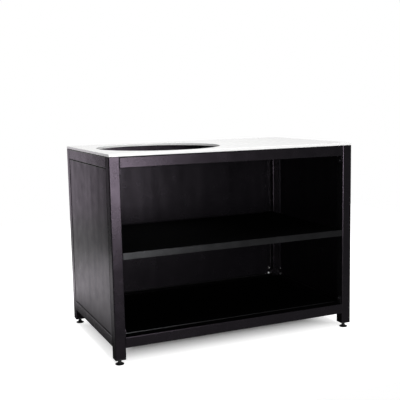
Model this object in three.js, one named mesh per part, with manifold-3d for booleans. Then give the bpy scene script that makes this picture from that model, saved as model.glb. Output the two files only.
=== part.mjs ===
// Kamado grill table: a bolted frame of square steel tube, closed at the sides and
// back by folded sheet panels, with a shelf and a floor tray inside, a white slab
// with a round cut-out on top and four screw feet below.
// Millimetres, +Z up. The front faces -Y, and the origin is on the floor under the
// middle of the table.

import * as THREE from 'three';
import { mergeVertices } from 'three/addons/utils/BufferGeometryUtils.js';
import Module from 'manifold-3d';

// Overall size
const tableWidth = 1000;
const tableDepth = 600;
const footHeight = 20;
const postHeight = 725;

// Square tube of the frame
const tubeSize = 40;
const tubeWall = 2;
const tubeRadius = 3;
const lowerRailRise = 42;

// Fits: two painted faces that meet, a bolt in its hole, and how far a cut runs past
const seatGap = 0.2;
const holeClearance = 0.3;
const cutOverrun = 5;

// Rail end plates, each with an ear that takes one bolt
const endPlateThickness = 3;
const endPlateInset = 0.5;
const endPlateProud = 0.3;
const earWidth = 24;
const earBoltRise = 20;
const ventRadius = 5;

// Frame bolts, and the rivet nuts set in the tube walls
const boltRadius = 3;
const boltLength = 16;
const boltHeadRadius = 5.25;
const boltHeadHeight = 3.3;
const rivetNutRadius = 4.5;
const rivetNutLength = 8;

// Cross rail that carries the slab beside the cut-out
const crossRailFromCutout = 25;
const crossPlateWidth = 84;
const crossPlateInset = 3;
const crossBoltOffset = 31;

// Slab and the soft gasket that it is bonded on
const slabThickness = 10;
const slabCornerRadius = 3;
const slabArris = 1;
const gasketSpace = 1;
const gasketInset = 2;
const gasketWidth = 36;
const cutoutRadius = 244;
const cutoutFromLeft = 295;

// Side and back panels
const panelSheet = 1.5;
const panelBend = 2.5;
const panelGap = 2;
const panelRecess = 1;
const panelReturn = 10;
const panelEarRelief = 28;
const panelTabClearance = 1;
const panelNotch = 1.5;

// Tabs on the posts, and the studs and nuts that hold the panels to them
const tabReach = 18;
const tabHeight = 28;
const tabThickness = 3;
const tabLift = 0.5;
const studRise = 5.5;
const studRadius = 2.5;
const studEndLength = 1.5;
const panelNutHeight = 4;
const panelNutAcrossFlats = 8;

// Shelf, with a lip bent down along its front and its rear edge
const shelfFromPostTop = 337;
const shelfSheet = 2;
const shelfBend = 3;
const shelfLip = 25;
const shelfSideGap = 1;
const shelfSetback = 1;
const shelfBackGap = 3;
const shelfNotchGap = 2;

// Bearers that carry the ends of the shelf, and its four countersunk screws
const bearerSheet = 3;
const bearerBend = 4;
const bearerDrop = 22;
const bearerLedge = 40;
const bearerEndGap = 2;
const bearerBoltDrop = 12.5;
const shelfScrewFromPost = 24;
const shelfScrewFromMiddle = 164;
const shelfScrewRadius = 2;
const shelfScrewHeadRadius = 4;
const shelfScrewLength = 12;
const shelfNutRadius = 3.5;
const shelfNutLength = 5;

// Stiffeners spot welded under the shelf
const stiffenerSheet = 1.5;
const stiffenerDepth = 18;
const stiffenerCrown = 30;
const stiffenerFlange = 16;
const stiffenerSlope = 6;
const stiffenerPitch = 286;
const stiffenerEndGap = 4;

// Floor tray, and the lugs on the rails that it stands on
const floorSheet = 1.5;
const floorBend = 2.5;
const floorDrop = 18;
const floorSideGap = 3;
const floorFrontGap = 8;
const lugLength = 25;
const lugReach = 22;
const lugThickness = 3;

// Post plug
const plugFlange = 4;
const plugDepth = 18;
const plugFit = 0.25;

// Screw foot: a stud with a ball end, turning in a round pad
const footStudRadius = 4;
const footStudTop = 50;
const footStudChamfer = 1;
const threadFit = 0.3;
const ballRadius = 5;
const ballFit = 0.3;
const ballHeight = 8;
const padRadius = 16;
const padRim = 3.5;
const padChamfer = 0.8;
const padNeckRadius = 6.5;
const padHeight = 13.5;
const padMouthRadius = 4.6;
const spannerFlat = 6;
const spannerFlatHeight = 4.5;
const spannerFlatLift = 1;

// How finely the round shapes are faceted
const cornerSteps = 2;
const bendSteps = 2;
const holeSides = 8;
const earSteps = 6;
const boltSides = 10;
const cutoutSides = 72;
const padSides = 18;
const studSides = 12;
const ballSteps = 4;
const hexSides = 6;
const longRailLugs = 3;
const shortRailLugs = 2;
const mergeDistance = 1e-4;

// Heights and planes that more than one piece uses
const quarterTurn = Math.PI / 2;
const postTop = footHeight + postHeight;
const postX = (tableWidth - tubeSize) / 2;
const postY = (tableDepth - tubeSize) / 2;
const innerX = tableWidth / 2 - tubeSize;
const innerY = tableDepth / 2 - tubeSize;
const lowerRailTop = footHeight + lowerRailRise + tubeSize;
const upperRailBase = postTop - tubeSize;
const lowerRailMiddle = lowerRailTop - tubeSize / 2;
const upperRailMiddle = postTop - tubeSize / 2;
const earBoltHeight = tubeSize / 2 + earBoltRise;
const lowerBoltHeight = lowerRailTop + earBoltRise;
const upperBoltHeight = upperRailBase - earBoltRise;
const shelfTop = postTop - shelfFromPostTop;
const bearerTop = shelfTop - shelfSheet - seatGap;
const bearerBoltHeight = bearerTop - bearerBoltDrop;
const cutoutX = cutoutFromLeft - tableWidth / 2;
const crossRailX = cutoutX + cutoutRadius + crossRailFromCutout + tubeSize / 2;

// The four corners, as the side of the table that each stands on
const corners = [
  { name: 'front_left', x: -1, y: -1 },
  { name: 'front_right', x: 1, y: -1 },
  { name: 'rear_left', x: -1, y: 1 },
  { name: 'rear_right', x: 1, y: 1 },
];

const wasm = await Module();
wasm.setup();

// Finishes
const framePaint = new THREE.MeshStandardMaterial({ color: 0x2a2a2c, roughness: 0.5, metalness: 0.1 });
const panelPaint = new THREE.MeshStandardMaterial({ color: 0x323135, roughness: 0.45, metalness: 0.1 });
const whiteSlab = new THREE.MeshStandardMaterial({ color: 0xf4f4f3, roughness: 0.35, metalness: 0 });
const blackRubber = new THREE.MeshStandardMaterial({ color: 0x1c1c1d, roughness: 0.8, metalness: 0 });
const blackNylon = new THREE.MeshStandardMaterial({ color: 0x151516, roughness: 0.6, metalness: 0 });
const blackSteel = new THREE.MeshStandardMaterial({ color: 0x333335, roughness: 0.4, metalness: 0.8 });

// A closed geometry as a solid that can be cut and joined
function toSolid(geometry) {
  geometry.deleteAttribute('normal');
  geometry.deleteAttribute('uv');
  const merged = mergeVertices(geometry, mergeDistance);
  return new wasm.Manifold(new wasm.Mesh({
    numProp: 3,
    vertProperties: new Float32Array(merged.attributes.position.array),
    triVerts: new Uint32Array(merged.index.array),
  }));
}

function toGeometry(solid) {
  const mesh = solid.getMesh();
  const geometry = new THREE.BufferGeometry();
  geometry.setAttribute('position', new THREE.BufferAttribute(mesh.vertProperties, 3));
  geometry.setIndex(new THREE.BufferAttribute(mesh.triVerts, 1));
  return geometry;
}

function join(solids) {
  return solids.reduce((whole, solid) => whole.add(solid));
}

function cut(solid, tools) {
  return tools.reduce((left, tool) => left.subtract(tool), solid);
}

// Two distances from the middle as a low and a high value on one side of it
function span(near, far, side) {
  return [near * side, far * side].sort((a, b) => a - b);
}

function block([lowX, highX], [lowY, highY], [lowZ, highZ]) {
  const geometry = new THREE.BoxGeometry(highX - lowX, highY - lowY, highZ - lowZ);
  geometry.translate((lowX + highX) / 2, (lowY + highY) / 2, (lowZ + highZ) / 2);
  return toSolid(geometry);
}

// A round bar along one axis through a centre, from one end to the other
function roundBar(axis, centre, ends, radius, sides) {
  const geometry = new THREE.CylinderGeometry(radius, radius, Math.abs(ends[1] - ends[0]), sides);
  if (axis === 'x') geometry.rotateZ(quarterTurn);
  if (axis === 'z') geometry.rotateX(quarterTurn);
  const at = new THREE.Vector3(...centre);
  at[axis] = (ends[0] + ends[1]) / 2;
  geometry.translate(at.x, at.y, at.z);
  return toSolid(geometry);
}

function arcPoints(x, y, radius, start, end, steps) {
  const points = [];
  for (let step = 0; step <= steps; step += 1) {
    const angle = start + (end - start) * step / steps;
    points.push(new THREE.Vector2(x + radius * Math.cos(angle), y + radius * Math.sin(angle)));
  }
  return points;
}

function roundedRectangle(width, height, radius) {
  const x = width / 2 - radius;
  const y = height / 2 - radius;
  return [
    ...arcPoints(x, y, radius, 0, quarterTurn, cornerSteps),
    ...arcPoints(-x, y, radius, quarterTurn, 2 * quarterTurn, cornerSteps),
    ...arcPoints(-x, -y, radius, 2 * quarterTurn, 3 * quarterTurn, cornerSteps),
    ...arcPoints(x, -y, radius, 3 * quarterTurn, 4 * quarterTurn, cornerSteps),
  ];
}

function circleHole(x, y, radius) {
  return new THREE.Path().absarc(x, y, radius, 0, 4 * quarterTurn, true);
}

// An outline in the X-Y plane pushed along +Z
function extruded(points, length, holes) {
  const shape = new THREE.Shape(points);
  shape.holes.push(...holes);
  return new THREE.ExtrudeGeometry(shape, {
    depth: length,
    bevelEnabled: false,
    curveSegments: holeSides / 2,
  });
}

// An outline in the X-Z plane pushed along Y, centred on y = 0
function extrudedAlongY(points, length) {
  const geometry = extruded(points, length, []);
  geometry.translate(0, 0, -length / 2);
  geometry.rotateX(quarterTurn);
  return geometry;
}

function squareTube(length) {
  const inner = tubeSize / 2 - tubeWall;
  const bore = new THREE.Path([
    new THREE.Vector2(-inner, -inner),
    new THREE.Vector2(-inner, inner),
    new THREE.Vector2(inner, inner),
    new THREE.Vector2(inner, -inner),
  ]);
  return extruded(roundedRectangle(tubeSize, tubeSize, tubeRadius), length, [bore]);
}

// Panel fixings: a tab welded to each post, with the panel's stud through it. A side
// panel's tabs point along Y and the back panel's point along X.
const panelDepth = panelRecess + panelSheet + seatGap;
const tabBases = [lowerRailTop + tabLift, upperRailBase - tabLift - tabHeight];
const studHeights = [tabBases[0] + studRise, tabBases[1] + tabHeight - studRise];
const studFromPost = tabReach / 2;

function panelTab(corner, back, base) {
  const outer = (back ? tableDepth : tableWidth) / 2 - panelDepth;
  const inner = back ? innerX : innerY;
  const across = span(outer - tabThickness, outer, back ? corner.y : corner.x);
  const reach = span(inner - tabReach, inner + tubeWall / 2, back ? corner.x : corner.y);
  const heights = [base, base + tabHeight];
  return back ? block(reach, across, heights) : block(across, reach, heights);
}

function tabHole(corner, back, height) {
  const outer = (back ? tableDepth : tableWidth) / 2;
  const centre = [(innerX - studFromPost) * corner.x, (innerY - studFromPost) * corner.y, height];
  const ends = span(outer - panelDepth - tabThickness - cutOverrun, outer, back ? corner.y : corner.x);
  return roundBar(back ? 'y' : 'x', centre, ends, studRadius + holeClearance, holeSides);
}

// Rivet nut crimped into an inner face of a post or a rail, and the hole through it
function rivetNut(axis, centre, side) {
  const inner = axis === 'x' ? innerX : innerY;
  const ends = span(inner + tubeWall / 2, inner + tubeWall + rivetNutLength, side);
  return roundBar(axis, centre, ends, rivetNutRadius, holeSides);
}

function rivetNutHole(axis, centre, side) {
  const inner = axis === 'x' ? innerX : innerY;
  const ends = span(inner - cutOverrun, inner + tubeWall + rivetNutLength + cutOverrun, side);
  return roundBar(axis, centre, ends, boltRadius + holeClearance, holeSides);
}

// Post: a tube with rivet nuts for the rails and the bearer, and tabs for the panels
function buildPost(corner) {
  const tubeBase = footHeight + plugFlange + seatGap;
  const tube = toSolid(squareTube(postTop - tubeBase)).translate([postX * corner.x, postY * corner.y, tubeBase]);
  const panels = corner.y > 0 ? [false, true] : [false];
  const tabs = panels.flatMap((back) => tabBases.map((base) => panelTab(corner, back, base)));
  const tabHoles = panels.flatMap((back) => studHeights.map((height) => tabHole(corner, back, height)));
  const bolts = [
    ['x', lowerBoltHeight], ['y', lowerBoltHeight], ['x', upperBoltHeight], ['y', upperBoltHeight],
    ['x', bearerBoltHeight],
  ].map(([axis, height]) => [axis, [postX * corner.x, postY * corner.y, height], corner[axis]]);
  const nuts = bolts.map((place) => rivetNut(...place));
  const nutHoles = bolts.map((place) => rivetNutHole(...place));
  return cut(join([tube, ...tabs, ...nuts]), [...tabHoles, ...nutHoles]);
}

function buildPlug(corner) {
  const reach = [-tubeSize / 2 + tubeWall + plugFit, tubeSize / 2 - tubeWall - plugFit];
  const flange = toSolid(extruded(roundedRectangle(tubeSize, tubeSize, tubeRadius), plugFlange, []));
  const body = block(reach, reach, [plugFlange / 2, plugFlange + plugDepth]);
  const bore = roundBar(
    'z', [0, 0, 0], [-cutOverrun, plugFlange + plugDepth + cutOverrun], footStudRadius + threadFit, studSides);
  return cut(join([flange, body]), [bore]).translate([postX * corner.x, postY * corner.y, footHeight]);
}

// Rail along X between two end plates. The ears stand up from it, and its lugs for
// the floor tray point to +Y.
function eyedPlate(outerX, side) {
  const edge = tubeSize / 2 - endPlateInset;
  const corner = edge - tubeRadius;
  const outline = [
    ...arcPoints(corner, -corner, tubeRadius, -quarterTurn, 0, cornerSteps),
    ...arcPoints(corner, corner, tubeRadius, 0, quarterTurn, cornerSteps),
    ...arcPoints(-corner, corner, tubeRadius, quarterTurn, 2 * quarterTurn, cornerSteps),
    new THREE.Vector2(-edge, earWidth / 2),
    ...arcPoints(-earBoltHeight, 0, earWidth / 2, quarterTurn, 3 * quarterTurn, earSteps),
    new THREE.Vector2(-edge, -earWidth / 2),
    ...arcPoints(-corner, -corner, tubeRadius, 2 * quarterTurn, 3 * quarterTurn, cornerSteps),
  ];
  const holes = [
    circleHole(-earBoltHeight, 0, boltRadius + holeClearance),
    circleHole(0, 0, ventRadius),
  ];
  const plate = extruded(outline, endPlateThickness, holes);
  plate.rotateY(quarterTurn);
  return toSolid(plate.translate(span(outerX - endPlateThickness, outerX, side)[0], 0, 0));
}

// The cross rail's end plates are wide instead, and its bolts are part of them
function widePlate(outerX, side) {
  const thickness = span(outerX - endPlateThickness, outerX, side);
  const past = [thickness[0] - cutOverrun, thickness[1] + cutOverrun];
  const halfHeight = tubeSize / 2 - crossPlateInset;
  const plate = block(thickness, [-crossPlateWidth / 2, crossPlateWidth / 2], [-halfHeight, halfHeight]);
  const vent = roundBar('x', [0, 0, 0], past, ventRadius, holeSides);
  const bolts = [-crossBoltOffset, crossBoltOffset].map((y) => {
    const bolt = boltGeometry();
    bolt.rotateZ(side > 0 ? 2 * quarterTurn : 0);
    return toSolid(bolt.translate((outerX - endPlateThickness + seatGap) * side, y, 0));
  });
  return join([cut(plate, [vent]), ...bolts]);
}

function buildRail(length, makePlate, lugs) {
  const half = length / 2 - seatGap;
  const tubeLength = 2 * (half - endPlateProud);
  const tube = squareTube(tubeLength);
  tube.translate(0, 0, -tubeLength / 2);
  tube.rotateY(quarterTurn);
  const pieces = [toSolid(tube), makePlate(half, 1), makePlate(half, -1)];
  const lugTop = tubeSize / 2 - floorDrop - seatGap;
  for (let index = 0; index < lugs; index += 1) {
    const middle = length * (index + 1) / (lugs + 1) - length / 2;
    pieces.push(block(
      [middle - lugLength / 2, middle + lugLength / 2],
      [tubeSize / 2 - tubeWall / 2, tubeSize / 2 + lugReach],
      [lugTop - lugThickness, lugTop]));
  }
  return join(pieces);
}

// The long top rails hold the rivet nuts for the cross rail
function withCrossRailNuts(rail, side) {
  const places = [-crossBoltOffset, crossBoltOffset].map(
    (x) => ['y', [crossRailX + x, 0, upperRailMiddle], side]);
  const nuts = places.map((place) => rivetNut(...place));
  return cut(join([rail, ...nuts]), places.map((place) => rivetNutHole(...place)));
}

// Folded tray: a sheet with its show face up at z = 0 and edges bent down. The bends
// stop short of each corner by the two reliefs.
function channelProfile(width, drop, sheet, bend) {
  const x = width / 2 - bend;
  return [
    new THREE.Vector2(width / 2, -drop),
    ...arcPoints(x, -bend, bend, 0, quarterTurn, bendSteps),
    ...arcPoints(-x, -bend, bend, quarterTurn, 2 * quarterTurn, bendSteps),
    new THREE.Vector2(-width / 2, -drop),
    new THREE.Vector2(-width / 2 + sheet, -drop),
    ...arcPoints(-x, -bend, bend - sheet, 2 * quarterTurn, quarterTurn, bendSteps),
    ...arcPoints(x, -bend, bend - sheet, quarterTurn, 0, bendSteps),
    new THREE.Vector2(width / 2 - sheet, -drop),
  ];
}

function foldedTray({ width, depth, drop, sheet, bend, reliefX, reliefY }) {
  const acrossX = extrudedAlongY(channelProfile(width, drop, sheet, bend), depth - 2 * reliefY);
  const acrossY = extrudedAlongY(channelProfile(depth, drop, sheet, bend), width - 2 * reliefX);
  acrossY.rotateZ(quarterTurn);
  return join([toSolid(acrossX), toSolid(acrossY)]);
}

// Panel lying face up: a folded tray whose flat corners run on past notches beside
// the bends, which leave room for the tabs and for the ears of the rails. A stud is
// welded behind each corner and carries its nut.
const panelTallness = upperRailBase - lowerRailTop - 2 * panelGap;
const panelMiddle = (upperRailBase + lowerRailTop) / 2;

function panelStud(x, y) {
  const nutBase = -panelSheet - seatGap - tabThickness - seatGap - panelNutHeight;
  const nutRadius = panelNutAcrossFlats / 2 / Math.cos(Math.PI / hexSides);
  const outline = arcPoints(x, y, nutRadius, 0, 4 * quarterTurn, hexSides).slice(1);
  const nut = extruded(outline, panelNutHeight, []).translate(0, 0, nutBase);
  const stud = roundBar('z', [x, y, 0], [nutBase - studEndLength, -panelSheet / 2], studRadius, holeSides);
  return join([stud, toSolid(nut)]);
}

function buildPanel(opening) {
  const width = opening - 2 * panelGap;
  const edgeX = width / 2;
  const edgeY = panelTallness / 2;
  const reliefX = tabReach - panelGap + panelTabClearance;
  const reliefY = panelEarRelief;
  const thickness = [-panelSheet, 0];
  const pieces = [foldedTray({
    width,
    depth: panelTallness,
    drop: panelReturn,
    sheet: panelSheet,
    bend: panelBend,
    reliefX,
    reliefY,
  })];
  for (const { x, y } of corners) {
    pieces.push(block(
      span(edgeX - reliefX + panelNotch, edgeX, x), span(edgeY - reliefY + panelNotch, edgeY, y), thickness));
    pieces.push(block(
      span(edgeX - reliefX - panelBend, edgeX - panelBend, x),
      span(edgeY - reliefY - panelBend, edgeY - panelBend, y), thickness));
    pieces.push(panelStud((opening / 2 - studFromPost) * x, (studHeights[1] - panelMiddle) * y));
  }
  return join(pieces);
}

// Shelf and its bearers
const shelfFront = -tableDepth / 2 + shelfSetback;
const shelfBack = innerY - shelfBackGap;
const shelfScrewPlaces = corners.map((corner) => ({
  name: corner.name,
  x: (innerX - shelfScrewFromPost) * corner.x,
  y: shelfScrewFromMiddle * corner.y,
}));

function screwHoles() {
  return shelfScrewPlaces.map(({ x, y }) => roundBar(
    'z', [x, y, 0], [shelfTop - shelfLip, shelfTop + cutOverrun], shelfScrewRadius + holeClearance, holeSides));
}

// Countersunk screw, with the flat of its head at z = 0
function shelfScrewGeometry() {
  const profile = [
    new THREE.Vector2(0, -shelfScrewLength),
    new THREE.Vector2(shelfScrewRadius, -shelfScrewLength),
    new THREE.Vector2(shelfScrewRadius, -shelfSheet),
    new THREE.Vector2(shelfScrewHeadRadius, 0),
    new THREE.Vector2(0, 0),
  ];
  return new THREE.LatheGeometry(profile, boltSides).rotateX(quarterTurn);
}

function countersinks() {
  const shank = shelfScrewRadius + holeClearance;
  const head = shelfScrewHeadRadius + holeClearance;
  const profile = [
    new THREE.Vector2(0, -shelfSheet - cutOverrun),
    new THREE.Vector2(shank, -shelfSheet - cutOverrun),
    new THREE.Vector2(shank, -shelfSheet),
    new THREE.Vector2(head, 0),
    new THREE.Vector2(head, cutOverrun),
    new THREE.Vector2(0, cutOverrun),
  ];
  const tool = new THREE.LatheGeometry(profile, boltSides).rotateX(quarterTurn);
  return shelfScrewPlaces.map(({ x, y }) => toSolid(tool.clone().translate(x, y, shelfTop)));
}

// The rear lip is cut away over the bearers, which run on past it to the rear posts
function buildShelf() {
  const width = 2 * (innerX - shelfSideGap);
  const sheet = extrudedAlongY(channelProfile(shelfBack - shelfFront, shelfLip, shelfSheet, shelfBend), width);
  sheet.rotateZ(quarterTurn);
  sheet.translate(0, (shelfBack + shelfFront) / 2, shelfTop);
  const notches = [-1, 1].map((side) => block(
    span(innerX - bearerLedge - shelfNotchGap, innerX, side),
    [shelfBack - shelfBend, shelfBack + cutOverrun],
    [shelfTop - shelfLip - cutOverrun, shelfTop + cutOverrun]));
  return cut(toSolid(sheet), [...notches, ...countersinks()]);
}

// Angle section along the inner faces of two posts, with a screw nut under its ledge
function buildBearer(side) {
  const outer = innerX - seatGap;
  const corner = outer - bearerBend;
  const bendHeight = bearerTop - bearerBend;
  const from = -tableDepth / 2 + shelfSetback + shelfSheet + bearerEndGap;
  const to = tableDepth / 2 - panelRecess - panelReturn - bearerEndGap;
  const points = [
    new THREE.Vector2(outer, bearerTop - bearerDrop),
    ...arcPoints(corner, bendHeight, bearerBend, 0, quarterTurn, bendSteps),
    new THREE.Vector2(outer - bearerLedge, bearerTop),
    new THREE.Vector2(outer - bearerLedge, bearerTop - bearerSheet),
    ...arcPoints(corner, bendHeight, bearerBend - bearerSheet, quarterTurn, 0, bendSteps),
    new THREE.Vector2(outer - bearerSheet, bearerTop - bearerDrop),
  ];
  const angle = toSolid(extrudedAlongY(points, to - from)).translate([0, (from + to) / 2, 0]);
  const placed = side > 0 ? angle : angle.mirror([1, 0, 0]);
  const nuts = shelfScrewPlaces.filter(({ x }) => x * side > 0).map(({ x, y }) => roundBar(
    'z', [x, y, 0], [bearerTop - bearerSheet - shelfNutLength, bearerTop - bearerSheet / 2],
    shelfNutRadius, holeSides));
  const boltHoles = [-postY, postY].map((y) => roundBar(
    'x', [0, y, bearerBoltHeight], span(outer - bearerSheet - cutOverrun, outer + cutOverrun, side),
    boltRadius + holeClearance, holeSides));
  return cut(join([placed, ...nuts]), [...boltHoles, ...screwHoles()]);
}

// Stiffener: a hat section whose two flanges lie under the shelf
function stiffenerGeometry() {
  const crown = stiffenerCrown / 2;
  const foot = crown + stiffenerSlope;
  const outer = [
    [crown + stiffenerSheet, -stiffenerDepth],
    [foot + stiffenerSheet, -stiffenerSheet],
    [foot + stiffenerFlange, -stiffenerSheet],
    [foot + stiffenerFlange, 0],
  ];
  const inner = [
    [foot, 0],
    [crown, -stiffenerDepth + stiffenerSheet],
  ];
  const half = [...outer, ...inner];
  const points = [...half, ...half.toReversed().map(([x, z]) => [-x, z])].map(([x, z]) => new THREE.Vector2(x, z));
  const geometry = extrudedAlongY(points, 2 * (innerX - seatGap - bearerLedge - stiffenerEndGap));
  geometry.rotateZ(quarterTurn);
  return geometry;
}

// Slab with rounded corners, eased edges and the round cut-out
function slabGeometry() {
  const shape = new THREE.Shape(roundedRectangle(tableWidth, tableDepth, slabCornerRadius));
  shape.holes.push(circleHole(cutoutX, 0, cutoutRadius));
  return new THREE.ExtrudeGeometry(shape, {
    depth: slabThickness - 2 * slabArris,
    bevelThickness: slabArris,
    bevelSize: slabArris,
    bevelOffset: -slabArris,
    bevelSegments: 1,
    curveSegments: cutoutSides / 2,
  });
}

// Gasket along the tops of the rails and across the cross rail
function buildGasket() {
  const thickness = gasketSpace - 2 * seatGap;
  const outline = roundedRectangle(
    tableWidth - 2 * gasketInset, tableDepth - 2 * gasketInset, slabCornerRadius);
  const edgeX = tableWidth / 2 - gasketInset - gasketWidth;
  const edgeY = tableDepth / 2 - gasketInset - gasketWidth;
  const bays = [[-edgeX, crossRailX - gasketWidth / 2], [crossRailX + gasketWidth / 2, edgeX]].map(
    (ends) => block(ends, [-edgeY, edgeY], [-cutOverrun, cutOverrun]));
  return cut(toSolid(extruded(outline, thickness, [])), bays);
}

// Button-head bolt along X, with its head to +X and the head's underside at x = 0
function boltGeometry() {
  const third = Math.PI / 3;
  const profile = [
    new THREE.Vector2(0, -boltLength),
    new THREE.Vector2(boltRadius, -boltLength),
    new THREE.Vector2(boltRadius, 0),
    new THREE.Vector2(boltHeadRadius, 0),
    new THREE.Vector2(boltHeadRadius * Math.sin(third), boltHeadHeight * Math.cos(third)),
    new THREE.Vector2(boltHeadRadius * Math.cos(third), boltHeadHeight),
    new THREE.Vector2(0, boltHeadHeight),
  ];
  const geometry = new THREE.LatheGeometry(profile, boltSides);
  geometry.rotateZ(-quarterTurn);
  return geometry;
}

// Bolt against a plate on the inner face of a rail's end or of a post
function boltAgainst(plateX, side, y, z) {
  const bolt = boltGeometry();
  bolt.rotateZ(side > 0 ? 2 * quarterTurn : 0);
  return toSolid(bolt.translate((plateX - seatGap) * side, y, z));
}

// Foot pad: a low cone with a ball socket in its neck
function footPadGeometry() {
  const socket = ballRadius + ballFit;
  const mouth = Math.acos(padMouthRadius / socket);
  const profile = [
    new THREE.Vector2(0, 0),
    new THREE.Vector2(padRadius, 0),
    new THREE.Vector2(padRadius, padRim),
    new THREE.Vector2(padNeckRadius, padHeight - padChamfer),
    new THREE.Vector2(padNeckRadius - padChamfer, padHeight),
    new THREE.Vector2(padMouthRadius, padHeight),
    ...arcPoints(0, ballHeight, socket, mouth, -quarterTurn, ballSteps),
  ];
  profile[profile.length - 1].x = 0;
  const geometry = new THREE.LatheGeometry(profile, padSides);
  geometry.rotateX(quarterTurn);
  return geometry;
}

// Foot stud: a threaded stud with a ball end and two spanner flats
function buildFootStud() {
  const neck = Math.acos(footStudRadius / ballRadius);
  const profile = [
    ...arcPoints(0, ballHeight, ballRadius, -quarterTurn, neck, ballSteps),
    new THREE.Vector2(footStudRadius, footStudTop - footStudChamfer),
    new THREE.Vector2(footStudRadius - footStudChamfer, footStudTop),
    new THREE.Vector2(0, footStudTop),
  ];
  profile[0].x = 0;
  const geometry = new THREE.LatheGeometry(profile, studSides);
  geometry.rotateX(quarterTurn);
  const base = padHeight + spannerFlatLift;
  const flats = [-1, 1].map((side) => block(
    [-footStudRadius - cutOverrun, footStudRadius + cutOverrun],
    span(spannerFlat / 2, footStudRadius + cutOverrun, side),
    [base, base + spannerFlatHeight]));
  return cut(toSolid(geometry), flats);
}

// Assembly
const table = new THREE.Group();
table.name = 'kamado_grill_table';

function add(name, geometry, material) {
  geometry.computeVertexNormals();
  const mesh = new THREE.Mesh(geometry, material);
  mesh.name = name;
  table.add(mesh);
}

for (const corner of corners) {
  const x = postX * corner.x;
  const y = postY * corner.y;
  add(`post_${corner.name}`, toGeometry(buildPost(corner)), framePaint);
  add(`post_plug_${corner.name}`, toGeometry(buildPlug(corner)), blackNylon);
  add(`foot_pad_${corner.name}`, footPadGeometry().translate(x, y, 0), blackNylon);
  add(`foot_stud_${corner.name}`, toGeometry(buildFootStud().translate([x, y, 0])), blackSteel);
}

// The sides of the frame, with the turn that faces a piece's +Y inwards. Each rail's
// bolts are turned and moved with it.
const sides = [
  { name: 'front', turn: 0, x: 0, y: -postY, ends: ['left', 'right'] },
  { name: 'rear', turn: 180, x: 0, y: postY, ends: ['right', 'left'] },
  { name: 'left', turn: -90, x: -postX, y: 0, ends: ['rear', 'front'] },
  { name: 'right', turn: 90, x: postX, y: 0, ends: ['front', 'rear'] },
];
for (const { name, turn, x, y, ends } of sides) {
  const long = x === 0;
  const length = 2 * (long ? innerX : innerY);
  const plateX = length / 2 - seatGap - endPlateThickness;
  const lower = buildRail(length, eyedPlate, long ? longRailLugs : shortRailLugs);
  const upper = buildRail(length, eyedPlate, 0);
  const bolts = [boltAgainst(plateX, -1, 0, earBoltHeight), boltAgainst(plateX, 1, 0, earBoltHeight)];
  const lowered = (solid) => solid.rotate([0, 0, turn]).translate([x, y, lowerRailMiddle]);
  const raised = (solid) => solid.rotate([180, 0, turn]).translate([x, y, upperRailMiddle]);
  const finished = long ? withCrossRailNuts(raised(upper), Math.sign(y)) : raised(upper);
  add(`bottom_rail_${name}`, toGeometry(lowered(lower)), framePaint);
  add(`top_rail_${name}`, toGeometry(finished), framePaint);
  bolts.forEach((bolt, index) => {
    add(`bottom_rail_${name}_bolt_${ends[index]}`, toGeometry(lowered(bolt)), blackSteel);
    add(`top_rail_${name}_bolt_${ends[index]}`, toGeometry(raised(bolt)), blackSteel);
  });
}
const crossRail = buildRail(2 * innerY, widePlate, 0).rotate([0, 0, 90]);
add('top_cross_rail', toGeometry(crossRail.translate([crossRailX, 0, upperRailMiddle])), framePaint);

for (const { name, side } of [{ name: 'left', side: -1 }, { name: 'right', side: 1 }]) {
  const plateX = innerX - seatGap - bearerSheet;
  add(`shelf_bearer_${name}`, toGeometry(buildBearer(side)), framePaint);
  add(`shelf_bearer_${name}_bolt_front`, toGeometry(boltAgainst(plateX, side, -postY, bearerBoltHeight)), blackSteel);
  add(`shelf_bearer_${name}_bolt_rear`, toGeometry(boltAgainst(plateX, side, postY, bearerBoltHeight)), blackSteel);
}

add('middle_shelf', toGeometry(buildShelf()), panelPaint);
for (const { name, x, y } of shelfScrewPlaces) {
  add(`shelf_screw_${name}`, shelfScrewGeometry().translate(x, y, shelfTop - seatGap), blackSteel);
}
for (const { name, side } of [{ name: 'front', side: -1 }, { name: 'rear', side: 1 }]) {
  const y = (shelfBack + shelfFront + stiffenerPitch * side) / 2;
  add(`shelf_stiffener_${name}`, stiffenerGeometry().translate(0, y, bearerTop), framePaint);
}

const floorFront = -innerY + floorFrontGap;
const floorBack = innerY - floorSideGap;
const floorTray = foldedTray({
  width: 2 * (innerX - floorSideGap),
  depth: floorBack - floorFront,
  drop: floorDrop,
  sheet: floorSheet,
  bend: floorBend,
  reliefX: floorBend,
  reliefY: floorBend,
});
add('floor_tray', toGeometry(floorTray.translate([0, (floorBack + floorFront) / 2, lowerRailTop])), panelPaint);

const panelX = tableWidth / 2 - panelRecess;
const sidePanel = buildPanel(2 * innerY).rotate([-90, 0, 0]);
const leftPanel = sidePanel.rotate([0, 0, 90]).translate([-panelX, 0, panelMiddle]);
const rightPanel = sidePanel.rotate([0, 0, -90]).translate([panelX, 0, panelMiddle]);
const backPanel = buildPanel(2 * innerX).rotate([-90, 0, 0])
  .translate([0, tableDepth / 2 - panelRecess, panelMiddle]);
add('side_panel_left', toGeometry(leftPanel), panelPaint);
add('side_panel_right', toGeometry(rightPanel), panelPaint);
add('back_panel', toGeometry(backPanel), panelPaint);

add('worktop_gasket', toGeometry(buildGasket().translate([0, 0, postTop + seatGap])), blackRubber);
add('worktop', slabGeometry().translate(0, 0, postTop + gasketSpace + slabArris), whiteSlab);

export default table;
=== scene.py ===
"""Looks for the kamado grill table: finishes for its metal, slab and feet, and its small fasteners."""

import math

import bmesh
import bpy
from mathutils import Matrix, Vector


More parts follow.
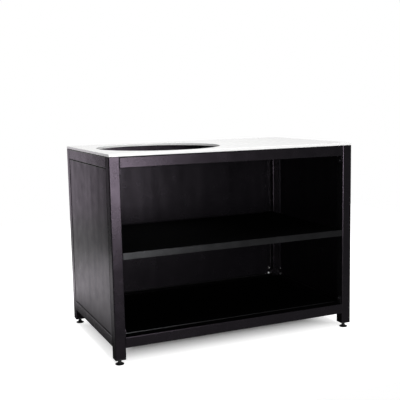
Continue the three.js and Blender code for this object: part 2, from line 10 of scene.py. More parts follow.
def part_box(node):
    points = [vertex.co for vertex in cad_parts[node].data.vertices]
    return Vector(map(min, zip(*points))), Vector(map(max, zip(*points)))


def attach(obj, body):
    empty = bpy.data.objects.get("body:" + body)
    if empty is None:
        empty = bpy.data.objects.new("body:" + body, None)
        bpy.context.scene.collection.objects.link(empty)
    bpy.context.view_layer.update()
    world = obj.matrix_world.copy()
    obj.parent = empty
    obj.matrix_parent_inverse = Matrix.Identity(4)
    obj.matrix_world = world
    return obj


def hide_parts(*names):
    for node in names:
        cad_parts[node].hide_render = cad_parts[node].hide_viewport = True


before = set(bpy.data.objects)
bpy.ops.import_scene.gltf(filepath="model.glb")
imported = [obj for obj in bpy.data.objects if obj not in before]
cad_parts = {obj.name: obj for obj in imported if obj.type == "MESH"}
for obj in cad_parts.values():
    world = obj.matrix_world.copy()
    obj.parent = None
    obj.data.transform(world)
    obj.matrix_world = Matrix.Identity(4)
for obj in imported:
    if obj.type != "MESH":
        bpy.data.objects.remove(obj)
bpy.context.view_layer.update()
scene = bpy.context.scene


# The camera stands in front of the table and left of its middle, a little higher than the slab.
# Its place, aim and lens came from fitting the straight edges of the frame in the photograph.

camera_place = (-1.20496, -2.67714, 0.92611)
camera_turn = math.radians(23.704)
camera_tilt = math.radians(-7.725)
camera_lean = math.radians(-1.159)
sensor_width = 36
camera_lens = 64.87

camera_data = bpy.data.cameras.new("camera")
camera_data.sensor_width = sensor_width
camera_data.lens = camera_lens
camera = bpy.data.objects.new("camera", camera_data)
scene.collection.objects.link(camera)
aim = Matrix.Rotation(-camera_turn, 4, "Z")
aim = aim @ Matrix.Rotation(math.pi / 2 + camera_tilt, 4, "X")
aim = aim @ Matrix.Rotation(camera_lean, 4, "Z")
camera.matrix_world = Matrix.Translation(camera_place) @ aim
scene.camera = camera


# White surround: white to the camera, and soft grey light on the table.
# In mirrored light it is a pale backdrop behind the table and a dim room in front of it.
# Limits are heights of the line of sight, and headings are how far it points to the back.

white = (1, 1, 1, 1)
surround_light = 0.4
room_gloss = 0.10
room_gloss_low = 0.19
room_limits = (-0.1, -0.3)
backdrop_gloss = 0.74
sky_gloss = 0.18
backdrop_limits = (0.3, 0.7)
backdrop_headings = (0.6, 0.9)
mirrored_tint = (0.98, 0.86, 1.0, 1)
tint_limits = (-0.05, 0.03)
tint_headings = (0.0, 0.4)
scene.view_settings.view_transform = "Standard"


def drawn_out(nodes, links, value, limits, ends):
    """The value, drawn out so that its limits become the two ends. An end may be another node's output."""
    drawn = nodes.new("ShaderNodeMapRange")
    drawn.inputs["From Min"].default_value = limits[0]
    drawn.inputs["From Max"].default_value = limits[1]
    for end, socket in zip(ends, (drawn.inputs["To Min"], drawn.inputs["To Max"])):
        if isinstance(end, (int, float)):
            socket.default_value = end
        else:
            links.new(end, socket)
    links.new(value, drawn.inputs["Value"])
    return drawn.outputs["Result"]


def reckoned(nodes, links, operation, first, second):
    """A sum, product or other result of two values. Either may be a number or another node's output."""
    sum_node = nodes.new("ShaderNodeMath")
    sum_node.operation = operation
    for value, socket in ((first, sum_node.inputs[0]), (second, sum_node.inputs[1])):
        if isinstance(value, (int, float)):
            socket.default_value = value
        else:
            links.new(value, socket)
    return sum_node.outputs["Value"]


def blended(nodes, links, share, first, second):
    """One colour turning into another. Either may be a colour or another node's output."""
    mix = nodes.new("ShaderNodeMix")
    mix.data_type = "RGBA"
    links.new(share, mix.inputs["Factor"])
    for colour, socket in ((first, mix.inputs[6]), (second, mix.inputs[7])):
        if isinstance(colour, tuple):
            socket.default_value = colour
        else:
            links.new(colour, socket)
    return mix.outputs[2]


world = bpy.data.worlds.new("white surround")
world.use_nodes = True
scene.world = world
nodes = world.node_tree.nodes
links = world.node_tree.links
surround = nodes["Background"]
path = nodes.new("ShaderNodeLightPath")
heading = nodes.new("ShaderNodeTexCoord")
parts = nodes.new("ShaderNodeSeparateXYZ")
links.new(heading.outputs["Generated"], parts.inputs["Vector"])
in_gloss = path.outputs["Is Glossy Ray"]
backdrop = drawn_out(nodes, links, parts.outputs["Z"], backdrop_limits, (backdrop_gloss, sky_gloss))
room = drawn_out(nodes, links, parts.outputs["Z"], room_limits, (room_gloss, room_gloss_low))
mirrored = drawn_out(nodes, links, parts.outputs["Y"], backdrop_headings, (room, backdrop))
strength = drawn_out(nodes, links, in_gloss, (0, 1), (surround_light, mirrored))
seen = reckoned(nodes, links, "MAXIMUM", path.outputs["Is Camera Ray"], path.outputs["Is Transmission Ray"])
strength = drawn_out(nodes, links, seen, (0, 1), (strength, 1.0))
links.new(strength, surround.inputs["Strength"])
tinted = drawn_out(nodes, links, parts.outputs["Z"], tint_limits, (in_gloss, 0.0))
tinted = drawn_out(nodes, links, parts.outputs["Y"], tint_headings, (0.0, tinted))
links.new(blended(nodes, links, tinted, white, mirrored_tint), surround.inputs["Color"])


# Paper floor: a wide sheet of pale paper under the table, which takes the table's shadow.
# Under the table its glow is turned down to a painted shadow, which lifts towards the footprint's edge.
# Outwards it brightens until it meets the surround without a line.
# In mirrored light it glows behind and beside the table only, and from below it is see-through.

floor_left = -2.6
floor_right = 2.6
floor_front = -0.85
floor_back = 3.0
table_front = -0.31
floor_colour = (0.82, 0.82, 0.82, 1)
# Painted shade: the paper's dark grey colour in mirrored light close to the table.
floor_mirrored_shade = (0.15, 0.15, 0.15, 1)
glow_half_width = 0.53
glow_half_depth = 0.29
# Painted shadow: the low glow under the table, and where it rises to the footprint's edge.
floor_glow_painted_shadow = 0.07
floor_glow_near = 0.84
floor_glow_far = 1.0
painted_shadow_limits = (-0.16, -0.02)
glow_limits = (0.0, 0.8)
mirrored_near = 0.78
mirrored_far = 0.05
mirrored_limits = (0.9, 1.8)
mirrored_front = ((0.25, 1.1), (0.3, 1.0))
mirrored_side = ((0.12, 0.47), (1.0, 0.5))
mirrored_close = (0.05, 0.12)
mirrored_behind = (0.5, 0.85)
paper_roughness = 0.9

floor_finish = bpy.data.materials.new("white paper")
floor_finish.use_nodes = True
nodes = floor_finish.node_tree.nodes
links = floor_finish.node_tree.links
paper = nodes["Principled BSDF"]
paper.inputs["Roughness"].default_value = paper_roughness
paper.inputs["Specular IOR Level"].default_value = 0
path = nodes.new("ShaderNodeLightPath")
in_gloss = path.outputs["Is Glossy Ray"]
links.new(blended(nodes, links, in_gloss, white, mirrored_tint), paper.inputs["Emission Color"])
spot = nodes.new("ShaderNodeTexCoord")
parts = nodes.new("ShaderNodeSeparateXYZ")
links.new(spot.outputs["Object"], parts.inputs["Vector"])
across = reckoned(nodes, links, "ABSOLUTE", parts.outputs["X"], 0)
across = reckoned(nodes, links, "SUBTRACT", across, glow_half_width)
along = reckoned(nodes, links, "ABSOLUTE", parts.outputs["Y"], 0)
along = reckoned(nodes, links, "SUBTRACT", along, glow_half_depth)
outward = reckoned(nodes, links, "MAXIMUM", across, along)
# Painted shadow under the table: the glow is low there and rises to the edge of the table's footprint.
under = drawn_out(nodes, links, outward, painted_shadow_limits, (floor_glow_painted_shadow, floor_glow_near))
glow = drawn_out(nodes, links, outward, glow_limits, (under, floor_glow_far))
mirrored = drawn_out(nodes, links, parts.outputs["Y"], mirrored_limits, (mirrored_near, mirrored_far))
behind = drawn_out(nodes, links, parts.outputs["Y"], mirrored_behind, (0.0, 1.0))
clear = drawn_out(nodes, links, across, mirrored_close, (0.0, 1.0))
clear = reckoned(nodes, links, "MAXIMUM", clear, behind)
front_share = drawn_out(nodes, links, parts.outputs["Y"], *mirrored_front)
side_share = drawn_out(nodes, links, across, *mirrored_side)
for share in (clear, front_share, side_share):
    mirrored = reckoned(nodes, links, "MULTIPLY", mirrored, share)
mirrored = reckoned(nodes, links, "MULTIPLY", in_gloss, mirrored)
seen = reckoned(nodes, links, "MAXIMUM", path.outputs["Is Camera Ray"], path.outputs["Is Transmission Ray"])
seen = reckoned(nodes, links, "MAXIMUM", seen, mirrored)
links.new(reckoned(nodes, links, "MULTIPLY", glow, seen), paper.inputs["Emission Strength"])
# Painted shade in mirrored light: close to the table, except behind it, the paper's colour turns dark grey.
mirrored_shade_share = reckoned(nodes, links, "SUBTRACT", in_gloss, clear)
links.new(blended(nodes, links, mirrored_shade_share, floor_colour, floor_mirrored_shade), paper.inputs["Base Color"])
see_through = nodes.new("ShaderNodeBsdfTransparent")
face = nodes.new("ShaderNodeNewGeometry")
one_sided = nodes.new("ShaderNodeMixShader")
links.new(face.outputs["Backfacing"], one_sided.inputs["Fac"])
links.new(paper.outputs["BSDF"], one_sided.inputs[1])
links.new(see_through.outputs["BSDF"], one_sided.inputs[2])
links.new(one_sided.outputs["Shader"], nodes["Material Output"].inputs["Surface"])


def flat_sheet(name, corners, finish):
    """One flat four-cornered sheet of the studio."""
    mesh = bpy.data.meshes.new(name)
    mesh.from_pydata(corners, [], [(0, 1, 2, 3)])
    mesh.materials.append(finish)
    sheet = bpy.data.objects.new(name, mesh)
    scene.collection.objects.link(sheet)
    return sheet


for name, front, back, is_mirrored in (
        ("floor_under", table_front, floor_back, True), ("floor_before", floor_front, table_front, False)):
    floor_corners = [
        (floor_left, front, 0), (floor_right, front, 0), (floor_right, back, 0), (floor_left, back, 0)]
    floor = flat_sheet(name, floor_corners, floor_finish)
    floor.visible_glossy = is_mirrored


# Black card: it stands left of the table, and only mirrored light meets it.
# It makes the dark band across the left panel.

card_left = -2.2
card_right = -0.72
card_low = 0.22
card_high = 1.6
card_y = 0.55
card_black = (0.01, 0.01, 0.01, 1)
card_roughness = 0.9

card_finish = bpy.data.materials.new("black card")
card_finish.use_nodes = True
card_face = card_finish.node_tree.nodes["Principled BSDF"]
card_face.inputs["Base Color"].default_value = card_black
card_face.inputs["Roughness"].default_value = card_roughness
card_face.inputs["Specular IOR Level"].default_value = 0
card_corners = [
    (card_left, card_y, card_low), (card_right, card_y, card_low),
    (card_right, card_y, card_high), (card_left, card_y, card_high)]
card = flat_sheet("black_card", card_corners, card_finish)
card.visible_camera = False
card.visible_diffuse = False
card.visible_transmission = False
card.visible_shadow = False


# Lamps: two large softboxes, one in front of the table and one above it.
# Each place, target and size is in metres, and the light is in watts.

front_lamp_place = (0.15, -3.2, 0.70)
front_lamp_target = (0.15, 0, 0.70)
front_lamp_size = (0.9, 1.3)
front_lamp_watts = 48
top_lamp_place = (0.1, -0.3, 2.9)
top_lamp_target = (0.1, 0, 0.6)
top_lamp_size = (2.4, 2.0)
top_lamp_watts = 54


def soft_lamp(name, place, target, size, watts):
    """A rectangular softbox that faces the target and isn't seen itself."""
    lamp_data = bpy.data.lights.new(name, "AREA")
    lamp_data.shape = "RECTANGLE"
    lamp_data.size = size[0]
    lamp_data.size_y = size[1]
    lamp_data.energy = watts
    lamp = bpy.data.objects.new(name, lamp_data)
    lamp.location = place
    lamp.rotation_mode = "QUATERNION"
    lamp.rotation_quaternion = (Vector(target) - Vector(place)).to_track_quat("-Z", "Y")
    lamp.visible_camera = False
    scene.collection.objects.link(lamp)


soft_lamp("front softbox", front_lamp_place, front_lamp_target, front_lamp_size, front_lamp_watts)
soft_lamp("top softbox", top_lamp_place, top_lamp_target, top_lamp_size, top_lamp_watts)


# Square steel tube: four posts, eight rails and the cross rail, welded end plates and bolted corners.
# It is shot-blasted and powder coated in a fine-textured charcoal that rubs a little paler on its edges.
# Faces that look up are rougher and less glossy, and their colour is painted shade, near black. The side
# faces of the two front posts are less glossy.

tube_dark = (0.0036, 0.0035, 0.0039, 1)
tube_light = (0.0060, 0.0058, 0.0065, 1)
tube_rubbed = (0.026, 0.024, 0.027, 1)
tube_roughness = (0.22, 0.30)
tube_gloss = 0.33
tube_tint = (0.97, 0.79, 1.0, 1)
post_side_share = 0.14
# Painted shade: the near-black colour given to faces that look up.
top_face_painted_shade = (0.0008, 0.0008, 0.0009, 1)
top_roughness = 0.75
top_gloss = 0.02
facing_limits = (0.5, 0.9)
cloud_size = 0.16
scuff_size = 0.012
scuff_limits = (0.42, 0.62)
rubbed_width = 0.0009
rubbed_limits = (0.995, 0.93)
gloss_patch_size = 0.05
paint_edge_radius = 0.0007
peel_size = 0.0011
peel_depth = 0.00006
bevel_samples = 6


def blank_finish(name):
    """A new material with its nodes, its links and its shader."""
    finish = bpy.data.materials.new(name)
    finish.use_nodes = True
    nodes = finish.node_tree.nodes
    return finish, nodes, finish.node_tree.links, nodes["Principled BSDF"]


def mottle(nodes, links, size, detail=2, stretch=(1, 1, 1)):
    """Random patches from 0 to 1, about as large as the size in metres."""
    place = nodes.new("ShaderNodeTexCoord")
    scaled = nodes.new("ShaderNodeMapping")
    scaled.inputs["Scale"].default_value = stretch
    patches = nodes.new("ShaderNodeTexNoise")
    patches.inputs["Scale"].default_value = 1 / size
    patches.inputs["Detail"].default_value = detail
    links.new(place.outputs["Object"], scaled.inputs["Vector"])
    links.new(scaled.outputs["Vector"], patches.inputs["Vector"])
    return patches.outputs["Fac"]


def between(nodes, links, value, ends, limits=(0.3, 0.7)):
    """A random value, drawn out so that its usual limits become the two ends."""
    return drawn_out(nodes, links, value, limits, ends)


def bumped(nodes, links, height, depth, normal=None):
    """Surface direction from bumps of that depth in metres."""
    bump = nodes.new("ShaderNodeBump")
    bump.inputs["Distance"].default_value = depth
    links.new(height, bump.inputs["Height"])
    if normal is not None:
        links.new(normal, bump.inputs["Normal"])
    return bump.outputs["Normal"]


def eased(nodes, radius):
    """Surface direction with the edges rounded to that radius."""
    bevel = nodes.new("ShaderNodeBevel")
    bevel.samples = bevel_samples
    bevel.inputs["Radius"].default_value = radius
    return bevel.outputs["Normal"]


def edge_share(nodes, links, radius):
    """1 along edges and 0 away from them."""
    flat = nodes.new("ShaderNodeNewGeometry")
    turn = nodes.new("ShaderNodeVectorMath")
    turn.operation = "DOT_PRODUCT"
    links.new(flat.outputs["Normal"], turn.inputs[0])
    links.new(eased(nodes, radius), turn.inputs[1])
    return between(nodes, links, turn.outputs["Value"], (0.0, 1.0), rubbed_limits)


def powder_coat(name, dark, light, rubbed, roughness, gloss, tint, ripple=None, side_share=1.0):
    """Textured powder coat: fine grain, soft clouds, paler edges where it is rubbed, and painted shade on
    faces that look up.
    """
    finish, nodes, links, shader = blank_finish(name)
    clouds = mottle(nodes, links, cloud_size, 3)
    colour = blended(nodes, links, clouds, dark, light)
    scuffs = between(nodes, links, mottle(nodes, links, scuff_size, 4), (0.0, 1.0), scuff_limits)
    worn = reckoned(nodes, links, "MULTIPLY", scuffs, edge_share(nodes, links, rubbed_width))
    colour = blended(nodes, links, worn, colour, rubbed)
    facing = nodes.new("ShaderNodeTexCoord")
    parts = nodes.new("ShaderNodeSeparateXYZ")
    links.new(facing.outputs["Normal"], parts.inputs["Vector"])
    upward = drawn_out(nodes, links, parts.outputs["Z"], facing_limits, (0.0, 1.0))
    # Painted shade: faces that look up turn near black.
    links.new(blended(nodes, links, upward, colour, top_face_painted_shade), shader.inputs["Base Color"])
    patches = between(nodes, links, mottle(nodes, links, gloss_patch_size, 4), roughness)
    links.new(drawn_out(nodes, links, upward, (0, 1), (patches, top_roughness)), shader.inputs["Roughness"])
    sideways = reckoned(nodes, links, "ABSOLUTE", parts.outputs["X"], 0)
    gloss_level = drawn_out(nodes, links, sideways, facing_limits, (gloss, gloss * side_share))
    gloss_level = drawn_out(nodes, links, upward, (0, 1), (gloss_level, top_gloss))
    links.new(gloss_level, shader.inputs["Specular IOR Level"])
    shader.inputs["Specular Tint"].default_value = tint
    normal = eased(nodes, paint_edge_radius)
    if ripple is not None:
        size, stretch, depth = ripple
        normal = bumped(nodes, links, mottle(nodes, links, size, 1, stretch), depth, normal)
    normal = bumped(nodes, links, mottle(nodes, links, peel_size, 2), peel_depth, normal)
    links.new(normal, shader.inputs["Normal"])
    return finish


def dress(finish, *names):
    """Gives CAD nodes their finish, in every slot they have."""
    for name in names:
        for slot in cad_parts[name].material_slots:
            slot.material = finish


corner_names = ("front_left", "front_right", "rear_left", "rear_right")
side_names = ("front", "rear", "left", "right")
tube_finish = powder_coat(
    "charcoal tube paint", tube_dark, tube_light, tube_rubbed, tube_roughness, tube_gloss, tube_tint)
front_post_finish = powder_coat(
    "charcoal front post paint", tube_dark, tube_light, tube_rubbed, tube_roughness, tube_gloss, tube_tint,
    side_share=post_side_share)
dress(front_post_finish, "post_front_left", "post_front_right")
dress(tube_finish, "post_rear_left", "post_rear_right")
dress(tube_finish, *[f"bottom_rail_{side}" for side in side_names])
dress(tube_finish, *[f"top_rail_{side}" for side in side_names])
dress(tube_finish, "top_cross_rail")


# Button-head bolts: M6 steel with a hexagon socket, blackened, turned into rivet nuts from inside.
# Two hold each end of a rail to its posts, and two hold each bearer.

bolt_radius = 0.003
bolt_length = 0.016
bolt_head_radius = 0.00525
bolt_head_height = 0.0033
bolt_socket_flats = 0.004
bolt_socket_depth = 0.0021
head_steps = 8
turned_sides = 48
sharp_angle = 32
merged_below = 1e-7
black_steel_dark = (0.016, 0.016, 0.018, 1)
black_steel_light = (0.034, 0.034, 0.037, 1)
black_steel_roughness = (0.34, 0.5)
black_steel_grain = 0.00002
black_steel_metallic = 0.8
steel_patch_size = 0.003
steel_smear_size = 0.0011
steel_grain_size = 0.00035
steel_edge_radius = 0.00015


def ring_radius(angle, radius, flats):
    """Radius of a round bar, or of a hexagon bar with its corners turned down to that radius."""
    if flats is None:
        return radius
    sixth = math.pi / 3
    folded = (angle + sixth / 2) % sixth - sixth / 2
    return min(radius, flats / 2 / math.cos(folded))


def turned(rings):
    """Mesh of one turned piece on the Z axis. Each ring is (height, radius, width across flats or None)."""
    made = bmesh.new()
    loops = []
    for height, radius, flats in rings:
        loop = []
        for step in range(turned_sides):
            angle = 2 * math.pi * step / turned_sides
            reach = ring_radius(angle, radius, flats)
            loop.append(made.verts.new((reach * math.cos(angle), reach * math.sin(angle), height)))
        loops.append(loop)
    for lower, upper in zip(loops, loops[1:]):
        for step in range(turned_sides):
            after = (step + 1) % turned_sides
            made.faces.new((lower[step], lower[after], upper[after], upper[step]))
    bmesh.ops.remove_doubles(made, verts=made.verts, dist=merged_below)
    bmesh.ops.recalc_face_normals(made, faces=made.faces)
    mesh = bpy.data.meshes.new("turned piece")
    made.to_mesh(mesh)
    made.free()
    mesh.shade_smooth()
    mesh.set_sharp_from_angle(angle=math.radians(sharp_angle))
    return mesh


def stand(mesh, name, place, along, finish, body):
    """Puts a piece at a place with its Z axis along a direction, and lets it ride on a body."""
    piece = bpy.data.objects.new(name, mesh)
    if not mesh.materials:
        mesh.materials.append(finish)
    turn = Vector(along).to_track_quat("Z", "Y").to_matrix().to_4x4()
    piece.matrix_world = Matrix.Translation(place) @ turn
    scene.collection.objects.link(piece)
    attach(piece, body)
    return piece


def metal_finish(name, dark, light, roughness, grain_depth, metallic=1.0):
    """Plated or blackened steel with a fine turned grain and soft patches."""
    finish, nodes, links, shader = blank_finish(name)
    patches = mottle(nodes, links, steel_patch_size, 3)
    links.new(blended(nodes, links, patches, dark, light), shader.inputs["Base Color"])
    smears = between(nodes, links, mottle(nodes, links, steel_smear_size, 3), roughness)
    links.new(smears, shader.inputs["Roughness"])
    shader.inputs["Metallic"].default_value = metallic
    grain = mottle(nodes, links, steel_grain_size, 2)
    normal = bumped(nodes, links, grain, grain_depth, eased(nodes, steel_edge_radius))
    links.new(normal, shader.inputs["Normal"])
    return finish


def button_head():
    """Rings of the bolt, from the end of its shank up over the head and down into the socket."""
    chamfer = bolt_radius / 5
    mouth = bolt_socket_flats * 0.64
    drill_point = bolt_head_height - bolt_socket_depth * 1.2
    rings = [
        (-bolt_length, 0, None),
        (-bolt_length, bolt_radius - chamfer, None),
        (-bolt_length + chamfer, bolt_radius, None),
        (0, bolt_radius, None),
        (0, bolt_head_radius - chamfer / 2, None),
        (chamfer / 2, bolt_head_radius, None),
    ]
    for step in range(1, head_steps + 1):
        share = step / head_steps
        radius = bolt_head_radius + (mouth - bolt_head_radius) * share
        height = bolt_head_height * math.sqrt(1 - (1 - share) ** 2)
        rings.append((max(height, chamfer / 2), radius, None))
    rings.append((bolt_head_height - chamfer / 3, bolt_socket_flats, bolt_socket_flats))
    rings.append((bolt_head_height - bolt_socket_depth, bolt_socket_flats, bolt_socket_flats))
    rings.append((drill_point, 0, None))
    return rings


black_steel = metal_finish(
    "black oxide steel", black_steel_dark, black_steel_light, black_steel_roughness, black_steel_grain,
    black_steel_metallic)
bolt_mesh = turned(button_head())
for name in sorted(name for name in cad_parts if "_bolt_" in name):
    low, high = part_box(name)
    middle = (low + high) / 2
    size = high - low
    axis = list(size).index(max(size))
    inward = Vector((0, 0, 0))
    inward[axis] = -math.copysign(1, middle[axis])
    head_top = middle + inward * size[axis] / 2
    head_seat = head_top - inward * bolt_head_height
    bolt = stand(bolt_mesh, f"bolt.{name}", head_seat, inward, black_steel, "frame")
    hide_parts(name)


# Shelf bearers and stiffeners: folded from steel sheet and coated like the tube.
# The bearers are bolted to the posts, and the stiffeners are spot welded under the shelf.

dress(tube_finish, "shelf_bearer_left", "shelf_bearer_right")
dress(tube_finish, "shelf_stiffener_front", "shelf_stiffener_rear")


# Side and back panels, shelf and floor tray: thin folded sheet, coated in charcoal; the back panel's is a
# little darker than the side panels', and the shelf's and floor tray's darker still.
# Rolled sheet is never quite flat, so long soft waves run up the panels and bend what they mirror.

sheet_dark = (0.0048, 0.0044, 0.0054, 1)
sheet_light = (0.0076, 0.0070, 0.0086, 1)
sheet_rubbed = (0.028, 0.026, 0.029, 1)
sheet_roughness = (0.27, 0.36)
sheet_gloss = 0.26
sheet_tint = (0.96, 0.84, 1.0, 1)
back_dark = (0.0036, 0.0033, 0.0041, 1)
back_light = (0.0058, 0.0053, 0.0066, 1)
back_roughness = (0.24, 0.28)
back_gloss = 0.25
shelf_dark = (0.0022, 0.0022, 0.0023, 1)
shelf_light = (0.0036, 0.0036, 0.0038, 1)
shelf_roughness = (0.20, 0.28)
shelf_gloss = 0.58
shelf_tint = (0.94, 0.95, 1.0, 1)
panel_waves = (0.08, (1, 1, 0.12), 0.0019)
shelf_waves = (0.3, (1, 0.5, 1), 0.0004)

panel_finish = powder_coat(
    "charcoal panel paint", sheet_dark, sheet_light, sheet_rubbed, sheet_roughness, sheet_gloss, sheet_tint,
    panel_waves)
back_finish = powder_coat(
    "charcoal back paint", back_dark, back_light, sheet_rubbed, back_roughness, back_gloss, sheet_tint,
    panel_waves)
shelf_finish = powder_coat(
    "charcoal shelf paint", shelf_dark, shelf_light, sheet_rubbed, shelf_roughness, shelf_gloss, shelf_tint,
    shelf_waves)
dress(panel_finish, "side_panel_left", "side_panel_right")
dress(back_finish, "back_panel")
dress(shelf_finish, "middle_shelf", "floor_tray")


# Countersunk screws: four M4 socket screws, blackened, flush with the shelf's top face.
# They go down through the shelf into nuts under the bearers.

screw_radius = 0.002
screw_length = 0.012
screw_head_radius = 0.004
screw_head_depth = 0.002
screw_socket_flats = 0.0025
screw_socket_depth = 0.0013
screw_point_radius = screw_radius * 0.8
screw_chamfer = screw_radius * 0.2
screw_rim_height = screw_head_depth * 0.08
screw_rim_inner = screw_head_radius * 0.97
screw_mouth = screw_socket_flats * 0.66
screw_mouth_depth = screw_socket_flats * 0.06
screw_drill_point = screw_socket_depth * 1.2

screw_rings = [
    (-screw_length, 0, None),
    (-screw_length, screw_point_radius, None),
    (-screw_length + screw_chamfer, screw_radius, None),
    (-screw_head_depth, screw_radius, None),
    (-screw_rim_height, screw_head_radius, None),
    (0, screw_rim_inner, None),
    (0, screw_mouth, None),
    (-screw_mouth_depth, screw_socket_flats, screw_socket_flats),
    (-screw_socket_depth, screw_socket_flats, screw_socket_flats),
    (-screw_drill_point, 0, None),
]
screw_mesh = turned(screw_rings)
for corner in corner_names:
    low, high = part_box(f"shelf_screw_{corner}")
    top = Vector(((low.x + high.x) / 2, (low.y + high.y) / 2, high.z))
    screw = stand(screw_mesh, f"shelf_screw.{corner}", top, (0, 0, 1), black_steel, "frame")
    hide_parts(f"shelf_screw_{corner}")


# Low cap nuts: M5 zinc-plated nuts on the studs of the panels, four to a panel.
# Each draws its panel against a tab on a post, and its crowned top closes over the stud's end.

nut_flats = 0.00816
nut_height = 0.0054
nut_chamfer = 0.0004
nut_flange_radius = 0.0053
nut_flange_height = 0.0009
nut_crown_radius = 0.0074
nut_crown_steps = 6
side_nut_seat = 0.4942
nut_rows = (0.108, 0.699)
side_nut_y = 0.251
back_nut_x = 0.451
back_nut_seat = 0.2942
zinc_dark = (0.72, 0.72, 0.73, 1)
zinc_light = (0.88, 0.88, 0.89, 1)
zinc_roughness = (0.34, 0.44)
zinc_grain = 0.00001
flange_inner_radius = nut_flange_radius * 0.97
flange_edge_from = nut_flange_height * 0.2
flange_edge_to = nut_flange_height * 0.6
flange_cone_top = nut_flange_height * 1.3
nut_corners = nut_flats * 0.6
nut_top_radius = nut_flats * 0.48
crown_sweep = math.asin(nut_top_radius / nut_crown_radius)

nut_rings = [
    (0, 0, None),
    (0, flange_inner_radius, None),
    (flange_edge_from, nut_flange_radius, None),
    (flange_edge_to, nut_flange_radius, None),
    (flange_cone_top, nut_corners, nut_flats),
    (nut_height - nut_chamfer, nut_corners, nut_flats),
    (nut_height, nut_top_radius, None),
]
for step in range(nut_crown_steps - 1, -1, -1):
    angle = crown_sweep * step / nut_crown_steps
    height = nut_height + nut_crown_radius * (math.cos(angle) - math.cos(crown_sweep))
    nut_rings.append((height, nut_crown_radius * math.sin(angle), None))
zinc = metal_finish("zinc-plated steel", zinc_dark, zinc_light, zinc_roughness, zinc_grain)
nut_mesh = turned(nut_rings)
for row, height in zip(("lower", "upper"), nut_rows):
    for end, sign in (("left", -1), ("right", 1)):
        for place, y in (("front", -side_nut_y), ("rear", side_nut_y)):
            stand(
                nut_mesh, f"panel_nut.{end}_{place}_{row}", (side_nut_seat * sign, y, height),
                (-sign, 0, 0), zinc, "frame")
        stand(
            nut_mesh, f"panel_nut.back_{end}_{row}", (back_nut_x * sign, back_nut_seat, height),
            (0, -1, 0), zinc, "frame")


# Worktop: a 10 mm slab of solid white surfacing, satin sanded, with eased edges and a round cut-out.
# It lies on a black gasket strip that keeps it off the painted rails.

slab_white = (0.90, 0.90, 0.895, 1)
slab_shade = (0.86, 0.86, 0.855, 1)
speckle_size = 0.0009
speckle_limits = (0.5, 0.75)
speckle_shares = (0.0, 0.25)
slab_cloud_size = 0.2
slab_cloud_shares = (0.0, 0.35)
slab_rub_size = 0.02
slab_roughness = (0.15, 0.23)
slab_gloss = 0.5
slab_grain_size = 0.0007
slab_grain_depth = 0.000008
slab_edge_radius = 0.0008
gasket_black = (0.010, 0.010, 0.010, 1)
gasket_bloom = (0.022, 0.022, 0.022, 1)
gasket_dust_size = 0.01
gasket_roughness = (0.62, 0.8)
gasket_grain_size = 0.0006
gasket_grain_depth = 0.00005

slab_finish, nodes, links, shader = blank_finish("satin white slab")
speckle = between(nodes, links, mottle(nodes, links, speckle_size, 3), speckle_shares, speckle_limits)
clouds = between(nodes, links, mottle(nodes, links, slab_cloud_size, 2), slab_cloud_shares)
shade = reckoned(nodes, links, "MAXIMUM", speckle, clouds)
links.new(blended(nodes, links, shade, slab_white, slab_shade), shader.inputs["Base Color"])
rub = between(nodes, links, mottle(nodes, links, slab_rub_size, 4), slab_roughness)
links.new(rub, shader.inputs["Roughness"])
shader.inputs["Specular IOR Level"].default_value = slab_gloss
grain = mottle(nodes, links, slab_grain_size, 2)
normal = bumped(nodes, links, grain, slab_grain_depth, eased(nodes, slab_edge_radius))
links.new(normal, shader.inputs["Normal"])
dress(slab_finish, "worktop")

gasket_finish, nodes, links, shader = blank_finish("black gasket rubber")
dust = mottle(nodes, links, gasket_dust_size, 4)
links.new(blended(nodes, links, dust, gasket_black, gasket_bloom), shader.inputs["Base Color"])
links.new(between(nodes, links, dust, gasket_roughness), shader.inputs["Roughness"])
grain = mottle(nodes, links, gasket_grain_size, 2)
links.new(bumped(nodes, links, grain, gasket_grain_depth), shader.inputs["Normal"])
dress(gasket_finish, "worktop_gasket")


# Post plugs and foot pads: moulded black nylon with a fine spark-eroded grain.
# The plug closes the end of a post and carries the foot's thread. The pad turns on the stud's ball.

nylon_black = (0.0085, 0.0085, 0.0090, 1)
nylon_grey = (0.0150, 0.0150, 0.0155, 1)
nylon_patch_size = 0.012
nylon_scuff_size = 0.004
nylon_roughness = (0.42, 0.58)
nylon_gloss = 0.35
nylon_grain_size = 0.0004
nylon_grain_depth = 0.00003
nylon_edge_radius = 0.0003
pad_radius = 0.016
pad_rim = 0.0035
pad_height = 0.0135
pad_neck_radius = 0.0065
pad_mouth_radius = 0.0045
ball_height = 0.008
socket_radius = 0.00515
cone_steps = 8
socket_steps = 10

nylon, nodes, links, shader = blank_finish("moulded black nylon")
patches = mottle(nodes, links, nylon_patch_size, 3)
links.new(blended(nodes, links, patches, nylon_black, nylon_grey), shader.inputs["Base Color"])
scuffs = between(nodes, links, mottle(nodes, links, nylon_scuff_size, 3), nylon_roughness)
links.new(scuffs, shader.inputs["Roughness"])
shader.inputs["Specular IOR Level"].default_value = nylon_gloss
grain = mottle(nodes, links, nylon_grain_size, 2)
normal = bumped(nodes, links, grain, nylon_grain_depth, eased(nodes, nylon_edge_radius))
links.new(normal, shader.inputs["Normal"])
dress(nylon, *[f"post_plug_{corner}" for corner in corner_names])

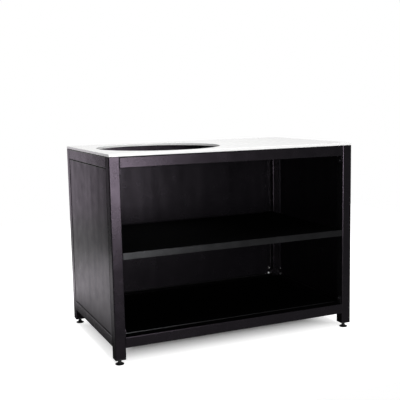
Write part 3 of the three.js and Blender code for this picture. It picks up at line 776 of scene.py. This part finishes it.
pad_cone_top = pad_height * 0.86
edge = pad_rim / 4
pad_rings = [
    (0, 0, None),
    (0, pad_radius - edge, None),
    (edge, pad_radius, None),
    (pad_rim - edge, pad_radius, None),
    (pad_rim, pad_radius - edge, None),
]
for step in range(1, cone_steps + 1):
    share = step / cone_steps
    sweep = share * math.pi / 2
    radius = pad_neck_radius + (pad_radius - edge - pad_neck_radius) * (1 - math.sin(sweep))
    height = pad_rim + (pad_cone_top - pad_rim) * (1 - math.cos(sweep))
    pad_rings.append((height, radius, None))
pad_rings.append((pad_height - edge / 2, pad_neck_radius, None))
pad_rings.append((pad_height, pad_neck_radius - edge / 2, None))
pad_rings.append((pad_height, pad_mouth_radius, None))
mouth_angle = math.asin(pad_mouth_radius / socket_radius)
for step in range(socket_steps + 1):
    angle = mouth_angle + (math.pi - mouth_angle) * step / socket_steps
    height = ball_height + socket_radius * math.cos(angle)
    pad_rings.append((height, socket_radius * math.sin(angle), None))
pad_mesh = turned(pad_rings)
for corner in corner_names:
    low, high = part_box(f"foot_pad_{corner}")
    base = Vector(((low.x + high.x) / 2, (low.y + high.y) / 2, 0))
    pad = stand(pad_mesh, f"foot_pad.{corner}", base, (0, 0, 1), nylon, f"pad_{corner}")
    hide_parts(f"foot_pad_{corner}")


# Foot studs: M8 by 1.25 zinc-plated steel, with a ball end that snaps into the pad.
# Two flats above the pad take a spanner, and the rolled thread runs on up into the plug.

stud_radius = 0.004
stud_top = 0.050
thread_from = 0.0195
thread_pitch = 0.00125
thread_depth = 0.00065
thread_steps = 24
ball_radius = 0.005
stud_neck_radius = 0.003
collar_from = 0.0138
collar_flats_from = 0.0145
collar_flats_to = 0.019
collar_flats = 0.006
collar_radius = stud_radius * 0.94
ball_steps = 10
thread_ridge = ((0.0, False), (0.375, True), (0.5, True), (0.875, False))
close_by = 1e-6
foot_zinc_dark = (0.42, 0.42, 0.43, 1)
foot_zinc_light = (0.60, 0.60, 0.61, 1)
foot_zinc_roughness = (0.30, 0.46)
foot_zinc_grain = 0.00002


def stud_mesh():
    """The ball, neck, collar with its two flats, and thread, as one mesh."""
    root = stud_radius - thread_depth
    rings = []
    neck_angle = math.pi - math.asin(stud_neck_radius / ball_radius)
    for step in range(ball_steps + 1):
        angle = neck_angle * step / ball_steps
        height = ball_height - ball_radius * math.cos(angle)
        rings.append((height, ball_radius * math.sin(angle), None))
    rings.append((collar_from, stud_neck_radius, None))
    rings.append((collar_flats_from, collar_radius, None))
    rings.append((collar_flats_to, collar_radius, None))
    rings.append((thread_from, root, None))
    rings.append((thread_from + thread_pitch, root, None))
    rings.append((thread_from + thread_pitch, 0, None))
    mesh = turned(rings)
    made = bmesh.new()
    made.from_mesh(mesh)
    for vertex in made.verts:
        if collar_flats_from - close_by <= vertex.co.z <= collar_flats_to + close_by:
            vertex.co.y = max(-collar_flats / 2, min(collar_flats / 2, vertex.co.y))
    turns = math.ceil((stud_top - thread_from) / thread_pitch) + 1
    columns = []
    for step in range(turns * thread_steps + 1):
        angle = 2 * math.pi * step / thread_steps
        base = thread_from + thread_pitch * (step / thread_steps - 1)
        column = []
        for share, is_crest in thread_ridge:
            radius = stud_radius if is_crest else root
            height = min(max(base + thread_pitch * share, thread_from), stud_top)
            column.append(made.verts.new((radius * math.cos(angle), radius * math.sin(angle), height)))
        columns.append(column)
    for step in range(len(columns) - 1):
        here = columns[step]
        after = columns[step + 1]
        for row in range(len(thread_ridge) - 1):
            made.faces.new((here[row], after[row], after[row + 1], here[row + 1]))
        if step + thread_steps + 1 < len(columns):
            above = columns[step + thread_steps]
            above_after = columns[step + thread_steps + 1]
            made.faces.new((here[-1], after[-1], above_after[0], above[0]))
    cap = []
    for step in range(thread_steps):
        angle = 2 * math.pi * step / thread_steps
        cap.append(made.verts.new((root * math.cos(angle), root * math.sin(angle), stud_top)))
    made.faces.new(cap)
    made.to_mesh(mesh)
    made.free()
    mesh.shade_smooth()
    mesh.set_sharp_from_angle(angle=math.radians(sharp_angle))
    return mesh


foot_zinc = metal_finish(
    "zinc-plated foot steel", foot_zinc_dark, foot_zinc_light, foot_zinc_roughness, foot_zinc_grain)
threaded = stud_mesh()
for corner in corner_names:
    low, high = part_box(f"foot_stud_{corner}")
    base = Vector(((low.x + high.x) / 2, (low.y + high.y) / 2, 0))
    stud = stand(threaded, f"foot_stud.{corner}", base, (0, 0, 1), foot_zinc, f"stud_{corner}")
    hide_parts(f"foot_stud_{corner}")
